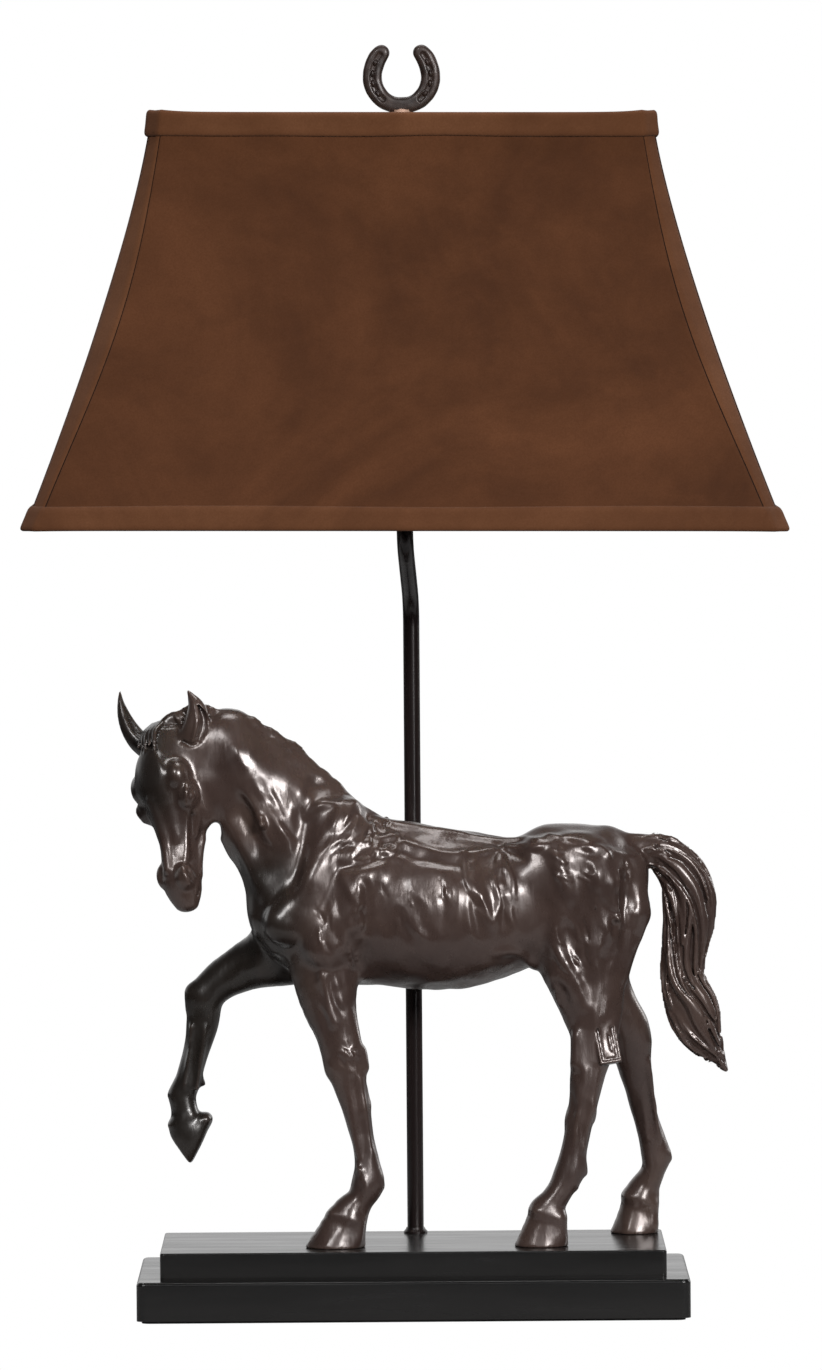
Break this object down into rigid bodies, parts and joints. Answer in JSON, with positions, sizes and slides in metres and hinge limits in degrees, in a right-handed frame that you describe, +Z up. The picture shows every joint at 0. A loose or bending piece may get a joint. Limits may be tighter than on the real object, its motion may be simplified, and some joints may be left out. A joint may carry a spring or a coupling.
{
  "type": "table lamp",
  "caption": "Table lamp with a walking-horse figure on a stepped base, a stepped pole, a harp and a rectangular bell shade with a horseshoe finial.",
  "frame": {"origin": "centre of the base's underside, on the surface it stands on", "axes": "+X to the lamp's right seen from the front, towards the horse's tail; +Y to the back; +Z up"},
  "size_m": [0.455, 0.305, 0.7678],
  "materials": {
    "black_lacquer": "satin black lacquer over wood",
    "felt": "short-pile felt",
    "steel_zinc": "zinc plated",
    "bushing_plastic": "moulded",
    "bronze_pole": "dark bronze plating, satin",
    "bronze_cast": "dark bronze patina, glossy",
    "bronze_finial": "dark bronze patina",
    "brass": "bright plated",
    "socket_fibre": "vulcanised fibre paper",
    "phenolic": "moulded phenolic",
    "bulb_glass": "inside frosted",
    "clear_glass": "clear pressed glass",
    "tungsten": "drawn wire",
    "shade_suede": "mottled brown faux suede on stiff backing",
    "shade_trim": "suede trim band",
    "shade_wire": "enamelled wire"
  },
  "bodies": {
    "base": {"base_lower_tier": "black_lacquer", "base_upper_tier": "black_lacquer", "base_felt": "felt", "figure_screws": "steel_zinc", "figure_washers": "steel_zinc", "tier_screws": "steel_zinc", "pole_washer": "steel_zinc", "pole_locknut": "steel_zinc", "saddle_nut": "steel_zinc", "terminal_screws": "steel_zinc", "cord_bushing": "bushing_plastic", "pole": "bronze_pole", "pole_collar": "bronze_pole", "horse_figure": "bronze_cast", "socket_cap": "brass", "socket_shell": "brass", "socket_screw_shell": "brass", "socket_contact": "brass", "harp_saddle": "brass", "socket_insulator": "socket_fibre", "socket_interior": "phenolic"},
    "harp": {"harp_wire": "brass", "harp_post": "brass"},
    "ferrule_left": {"ferrule_left": "brass"},
    "ferrule_right": {"ferrule_right": "brass"},
    "shade": {"shade_panel_front": "shade_suede", "shade_panel_back": "shade_suede", "shade_panel_left": "shade_suede", "shade_panel_right": "shade_suede", "shade_gusset_front_right": "shade_suede", "shade_gusset_right_back": "shade_suede", "shade_gusset_back_left": "shade_suede", "shade_gusset_left_front": "shade_suede", "shade_top_trim": "shade_trim", "shade_bottom_trim": "shade_trim", "shade_top_ring": "shade_wire", "shade_spider_hub": "shade_wire", "shade_spider_arms": "shade_wire", "shade_bottom_ring": "shade_wire", "shade_ribs": "shade_wire"},
    "finial": {"finial_neck": "brass", "finial_horseshoe": "bronze_finial"},
    "bulb": {"bulb_globe": "bulb_glass", "bulb_stem": "clear_glass", "bulb_filament": "tungsten", "bulb_cap": "brass", "bulb_insulator": "clear_glass", "bulb_contact": "brass"},
    "knob": {"switch_shaft": "brass", "switch_knob": "phenolic"}
  },
  "joints": [
    {"name": "harp_lift", "type": "slide", "parent": "base", "child": "harp", "axis": [0, 0, 1], "range_m": [0, 0.04]},
    {"name": "ferrule_left_lift", "type": "slide", "parent": "harp", "child": "ferrule_left", "axis": [0, 0, 1], "range_m": [0, 0.012]},
    {"name": "ferrule_right_lift", "type": "slide", "parent": "harp", "child": "ferrule_right", "axis": [0, 0, 1], "range_m": [0, 0.012]},
    {"name": "shade_turn", "type": "hinge", "parent": "harp", "child": "shade", "pos_m": [-0.002, 0, 0.7123], "axis": [0, 0, 1], "continuous": true},
    {"name": "finial_turn", "type": "hinge", "parent": "harp", "child": "finial", "pos_m": [-0.002, 0, 0.72], "axis": [0, 0, 1], "continuous": true},
    {"name": "bulb_turn", "type": "hinge", "parent": "base", "child": "bulb", "pos_m": [-0.002, 0, 0.54], "axis": [0, 0, 1], "continuous": true},
    {"name": "switch_turn", "type": "hinge", "parent": "base", "child": "knob", "pos_m": [-0.002, -0.02, 0.525], "axis": [0, 1, 0], "continuous": true}
  ]
}
